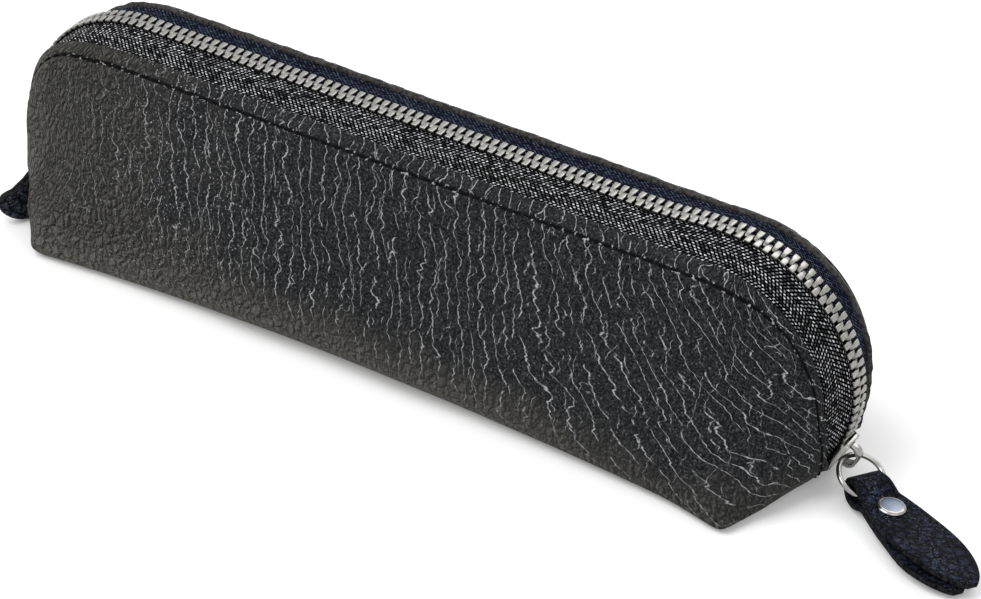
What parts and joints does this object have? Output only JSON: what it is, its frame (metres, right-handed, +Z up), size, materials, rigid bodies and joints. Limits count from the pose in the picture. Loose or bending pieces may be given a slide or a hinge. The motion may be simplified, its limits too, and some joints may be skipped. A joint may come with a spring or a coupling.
{
  "type": "zipped leather pen case",
  "caption": "Small leather pen case on a flat base, closed over the top and round both ends by an arched metal zip with a leaf-shaped leather pull on a ring.",
  "frame": {"origin": "centre of the flat base, on the table", "axes": "+X along the case towards the zip pull, -Y to the front panel, +Z up"},
  "size_m": [0.2415, 0.0534, 0.0507],
  "materials": {
    "hide": "pebbled grain, semi-matte",
    "navy_leather": "fine grain, semi-matte",
    "lining_cloth": "plain weave",
    "zip_tape": "twill weave",
    "teeth_metal": "polished nickel plate",
    "slider_metal": "polished nickel plate",
    "rivet_metal": "polished nickel plate"
  },
  "bodies": {
    "case": {"leather_body": "hide", "lining": "lining_cloth", "front_tape": "zip_tape", "back_tape": "zip_tape", "front_teeth": "teeth_metal", "back_teeth": "teeth_metal", "top_stops": "teeth_metal", "bottom_stop": "teeth_metal", "end_tab": "navy_leather"},
    "slider": {"slider_body": "slider_metal", "slider_crown": "slider_metal"},
    "ring": {"pull_ring": "slider_metal"},
    "pull": {"pull_strap": "navy_leather", "rivet_cap": "rivet_metal", "rivet_post": "rivet_metal"}
  },
  "joints": [
    {"name": "slider_travel", "type": "hinge", "parent": "case", "child": "slider", "pos_m": [0.0699, 0, 0.0215], "axis": [0, -1, 0], "range_deg": [0, 113], "deforming": ["front_teeth", "back_teeth", "front_tape", "back_tape"]},
    {"name": "ring_swing", "type": "hinge", "parent": "slider", "child": "ring", "pos_m": [0.09768, 0, 0.00707], "axis": [0, -1, 0], "range_deg": [-30, 60]},
    {"name": "pull_swing", "type": "hinge", "parent": "ring", "child": "pull", "pos_m": [0.10444, -0.00405, 0.00327], "axis": [0.4496, 0.8823, -0.1392], "range_deg": [-25, 60]}
  ]
}
